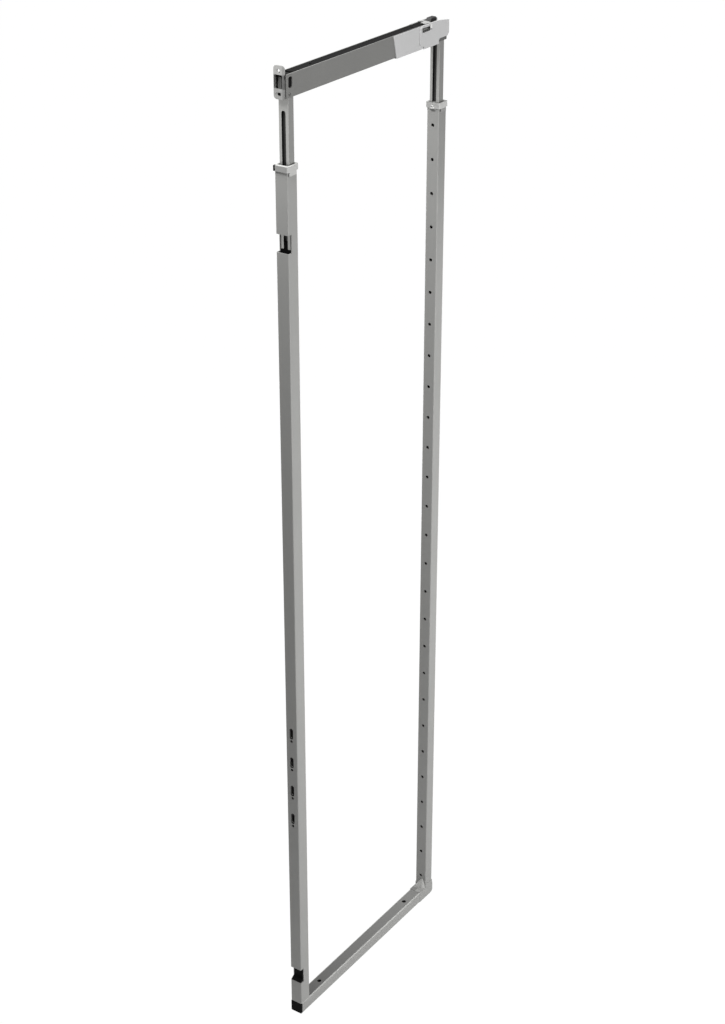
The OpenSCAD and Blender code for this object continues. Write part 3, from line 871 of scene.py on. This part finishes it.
class PANTRY_OT_door_slot_shade_lips(bpy.types.Operator):
    """Set a black lip round each door slot of the front post, standing in for the shade in the slot and
    below it
    """

    bl_idname = "pantry.door_slot_lips"
    bl_label = "Door Slot Lips"

    def execute(self, context):
        mount = next(m for m in frame["record"]["mounts"] if m["name"] == "door_slots")
        dims = mount["dims"]
        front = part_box("front_post")[0].y
        slots = 4
        millimetre = 0.001
        spread = dims["spacing_y_mm"] * millimetre
        width = 2 * dims["hole_r_mm"] * millimetre
        length = dims["slot_length_mm"] * millimetre
        lip = 0.0008
        above = 0.0003
        below = 0.0027
        thick = 0.00025
        drop = (below - above) / 2
        size = (width + 2 * lip, length + above + below)
        radius = width / 2 + lip - 0.0001
        rings = []
        for i in range(slots):
            z = mount["pos_m"][2] + spread * (i / (slots - 1) - 0.5)
            # Each black lip reaches farther below its slot than above it: painted shade
            ring = lining(size, radius, (width, length), (0.0, drop), thick)
            rings.append(moved(ring, (0.0, front, z - drop), AXIS_TO_Y))
        piece("door_slot_lips", joined(rings), "seat_plastic", "frame")
        return {"FINISHED"}


class PANTRY_OT_nose_lining(bpy.types.Operator):
    """Line the nose windows, guide the spindle on its far side, and fill the bracket slot's ends"""

    bl_idname = "pantry.nose_lining"
    bl_label = "Nose Lining"

    def execute(self, context):
        low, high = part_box("top_channel")
        wall = 0.0015
        self.windows(low, high, wall)
        self.spindle_guide(low, low.x + wall)
        self.slot_ends()
        return {"FINISHED"}

    def windows(self, low, high, wall):
        """A ring in the window of each side wall, which makes its opening smaller."""
        size = (0.0152, 0.0229)
        radius = 0.0049
        hole = (0.01, 0.0183)
        shift = (0.0022, -0.0015)
        thick = wall - 0.0003
        y = low.y + 0.0086
        z = low.z + 0.0265
        near = high.x - wall + 0.0001
        far = low.x + 0.0002
        for name, x in (("near_window_lining", near), ("far_window_lining", far)):
            ring = moved(lining(size, radius, hole, shift, thick), (x, y, z), AXIS_TO_X)
            piece(name, ring, "channel_paint", "head")

    def spindle_guide(self, low, inner):
        """A thin black liner on the far wall, standing in for the deep shade there, and a strip on it
        beside the spindle.
        """
        shade_liner_thick = 0.0006
        gib_thick = 0.002
        play = 0.0001
        back = low.y + 0.0081
        foot = low.z + 0.0081
        top = low.z + 0.0339
        # Painted shade: a black sheet on the far wall, where the nose is in deep shade
        painted_shade_liner = block(
            Vector((inner, low.y + 0.0002, foot)), Vector((inner + shade_liner_thick, back, top)), 0.0001,
        )
        piece("nose_shade_liner", painted_shade_liner, "seat_plastic", "head")
        gib = block(
            Vector((inner + shade_liner_thick, low.y + 0.0041, foot + play)),
            Vector((inner + shade_liner_thick + gib_thick, back, top - play)), 0.0003,
        )
        piece("spindle_gib", gib, "channel_paint", "head")

    def slot_ends(self):
        """A ring in the door bracket's lower slot, which leaves a shorter one."""
        plate_low, plate_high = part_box("door_bracket")
        size = (0.0129, 0.0059)
        radius = 0.0029
        hole = (0.0066, 0.005)
        thick = 0.0018
        middle = (plate_high.x - 0.0106, plate_low.y + 0.0024, plate_low.z + 0.0085)
        slot = moved(lining(size, radius, hole, (0.0, 0.0), thick), middle, AXIS_TO_Y)
        piece("slot_insert", slot, "bracket_zinc", "bracket")


class PANTRY_OT_rail_fittings(bpy.types.Operator):
    """Add the clip's wide leaf over the rail, black lips round the clip's slots that stand in for shade,
    and the rail's buffer
    """

    bl_idname = "pantry.rail_fittings"
    bl_label = "Rail Fittings"

    def execute(self, context):
        clip_low, clip_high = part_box("rail_clip")
        top = clip_high.z - 0.0024
        self.clip_leaf(clip_low.y, top)
        self.slot_shade_lips(clip_low.y - 0.012, top - 0.00775)
        self.buffer(context.scene.pantry_colours.black)
        return {"FINISHED"}

    def clip_leaf(self, front, top):
        """A leaf before the clip that bends down towards its tip."""
        long = 0.0105
        section = [
            (0.001, 0.0023), (0.004, 0.0023), (0.0108, 0.00155),
            (0.0108, 0.0007), (0.004, 0.0013), (0.001, 0.0013),
        ]
        outline = [(x, front - long, top + z) for x, z in section]
        leaf = prism(outline, (0.0, long, 0.0), 0.0002)
        piece("clip_tab", leaf, "bright_zinc", "head")

    def slot_shade_lips(self, y, z):
        """A thin black lip round the slot in each cheek of the rear bracket, standing in for shade round
        the opening.
        """
        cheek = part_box("rear_bracket")[1].x
        size = (0.0234, 0.0076)
        radius = 0.0012
        hole = (0.021, 0.0053)
        thick = 0.00025
        # Painted shade: black lips round the slots
        for name, x in (("near_slot_shade_lip", cheek), ("far_slot_shade_lip", -cheek - thick)):
            lip = moved(lining(size, radius, hole, (0.0, 0.0), thick), (x, y, z), AXIS_TO_X)
            piece(name, lip, "seat_plastic", "head")

    def buffer(self, black):
        """A rubber buffer hooked over the rail's rear end."""
        cap_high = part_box("rail_end_cap")[1]
        behind = cap_high.y
        roof = cap_high.z
        crown = roof + 0.0055
        foot = roof - 0.012
        half = 0.005
        side = [
            (behind - 0.007, roof), (behind, roof), (behind, foot),
            (behind + 0.011, foot), (behind + 0.012, crown), (behind - 0.005, crown),
        ]
        shape = prism([(-half, y, z) for y, z in side], (2 * half, 0.0, 0.0), 0.001)
        moulded_black("buffer_rubber", shade(black, 8.0), 0.6)
        piece("rail_buffer", shape, "buffer_rubber", "rail")


class PANTRY_OT_studio(bpy.types.Operator):
    """Set the floor, the lights and the camera"""

    bl_idname = "pantry.studio"
    bl_label = "Studio"

    def execute(self, context):
        scene = context.scene
        studio = scene.pantry_studio
        bm = bmesh.new()
        bmesh.ops.create_grid(bm, x_segments=1, y_segments=1, size=studio.floor_side / 2)
        below = 0.0006
        bmesh.ops.translate(bm, vec=(0.0, 0.0, -below), verts=bm.verts)
        mesh = bpy.data.meshes.new("studio_floor")
        bm.to_mesh(mesh)
        bm.free()
        floor = bpy.data.objects.new("studio_floor", mesh)
        scene.collection.objects.link(floor)
        mesh.materials.append(self.floor_paper())
        self.sky(scene, studio.fill)
        self.lamp("side_box", (1.7, 0.3, 0.95), (0.0, 0.05, 0.95), 1.0, 140.0, studio.side_power)
        self.lamp("front_box", (-0.05, -0.45, 2.5), (0.0, 0.2, 1.6), 0.5, 150.0, studio.front_power)
        self.lamp("edge_box", (1.15, 1.85, 1.28), (0.0, 0.1, 0.1), 0.6, 120.0, studio.edge_power)
        self.lamp("back_box", (-1.5, 1.3, 0.5), (0.0, 0.05, 0.9), 1.0, 140.0, studio.back_power)
        self.camera(scene)
        scene.view_settings.view_transform = "Standard"
        return {"FINISHED"}

    def floor_paper(self):
        """White paper that stays white to the camera and keeps a soft shadow."""
        f = Finish("studio_paper")
        f.surface(Base_Color=(0.9, 0.9, 0.9, 1.0), Roughness=0.9)
        glow = f.add("ShaderNodeEmission", None, {"Color": (1.0, 1.0, 1.0, 1.0), "Strength": 1.04})
        mixed = f.add("ShaderNodeMixShader", None, {
            0: f.seen() * 0.95, 1: f.shader.outputs[0], 2: glow.outputs[0],
        })
        f.feed(f.output.inputs["Surface"], mixed.outputs[0])
        return f.material

    def sky(self, scene, fill):
        """Even white surroundings for reflections, with a dimmer fill."""
        scene.world = bpy.data.worlds.new("studio_sky")
        g = Graph(scene.world)
        back = g.tree.nodes["Background"]
        g.feed(back.inputs["Color"], (1.0, 1.0, 1.0, 1.0))
        g.feed(back.inputs["Strength"], g.seen() * (1.0 - fill) + fill)

    def lamp(self, name, where, aim, side, spread, power):
        """A square soft box turned towards a point."""
        data = bpy.data.lights.new(name, "AREA")
        data.shape = "RECTANGLE"
        data.size = side
        data.size_y = side
        data.spread = math.radians(spread)
        data.energy = power
        made = bpy.data.objects.new(name, data)
        made.location = where
        made.rotation_euler = (Vector(aim) - Vector(where)).to_track_quat("-Z", "Y").to_euler()
        bpy.context.scene.collection.objects.link(made)

    def camera(self, scene):
        """The view from above the front right corner."""
        azimuth = math.radians(34.38)
        elevation = math.radians(26.87)
        back = Vector((
            math.sin(azimuth) * math.cos(elevation),
            -math.cos(azimuth) * math.cos(elevation),
            math.sin(elevation),
        ))
        data = bpy.data.cameras.new("camera")
        data.sensor_width = 36.0
        data.lens = 71.32
        data.clip_end = 200.0
        made = bpy.data.objects.new("camera", data)
        made.location = (1.9127, -2.7962, 2.7468)
        made.rotation_euler = (-back).to_track_quat("-Z", "Y").to_euler()
        scene.collection.objects.link(made)
        scene.camera = made


class PANTRY_PT_build(bpy.types.Panel):
    """Lists the steps that dress the frame"""

    bl_idname = "PANTRY_PT_build"
    bl_label = "Pantry Frame"
    bl_space_type = "VIEW_3D"
    bl_region_type = "UI"
    bl_category = "Pantry Frame"

    def draw(self, context):
        layout = self.layout
        scene = context.scene
        for step in STEPS:
            layout.operator(step.bl_idname)
        for group in (scene.pantry_colours, scene.pantry_sizes, scene.pantry_studio):
            for key in group.__annotations__:
                layout.prop(group, key)


GROUPS = (PantryColours, PantrySizes, PantryStudio)
STEPS = (
    PANTRY_OT_finish_frame, PANTRY_OT_finish_head, PANTRY_OT_finish_fittings,
    PANTRY_OT_spindle_thread, PANTRY_OT_foot_weld, PANTRY_OT_corner_casting, PANTRY_OT_door_slot_shade_lips,
    PANTRY_OT_nose_lining, PANTRY_OT_rail_fittings,
    PANTRY_OT_studio,
)


def register():
    for made in (*GROUPS, *STEPS, PANTRY_PT_build):
        bpy.utils.register_class(made)
    bpy.types.Scene.pantry_colours = bpy.props.PointerProperty(type=PantryColours)
    bpy.types.Scene.pantry_sizes = bpy.props.PointerProperty(type=PantrySizes)
    bpy.types.Scene.pantry_studio = bpy.props.PointerProperty(type=PantryStudio)


def unregister():
    del bpy.types.Scene.pantry_studio
    del bpy.types.Scene.pantry_sizes
    del bpy.types.Scene.pantry_colours
    for made in reversed((*GROUPS, *STEPS, PANTRY_PT_build)):
        bpy.utils.unregister_class(made)


def main():
    register()
    bpy.ops.pantry.finish_frame()
    bpy.ops.pantry.finish_head()
    bpy.ops.pantry.finish_fittings()
    bpy.ops.pantry.spindle_thread()
    bpy.ops.pantry.foot_weld()
    bpy.ops.pantry.corner_casting()
    bpy.ops.pantry.door_slot_lips()
    bpy.ops.pantry.nose_lining()
    bpy.ops.pantry.rail_fittings()
    bpy.ops.pantry.studio()


if __name__ == "__main__":
    main()
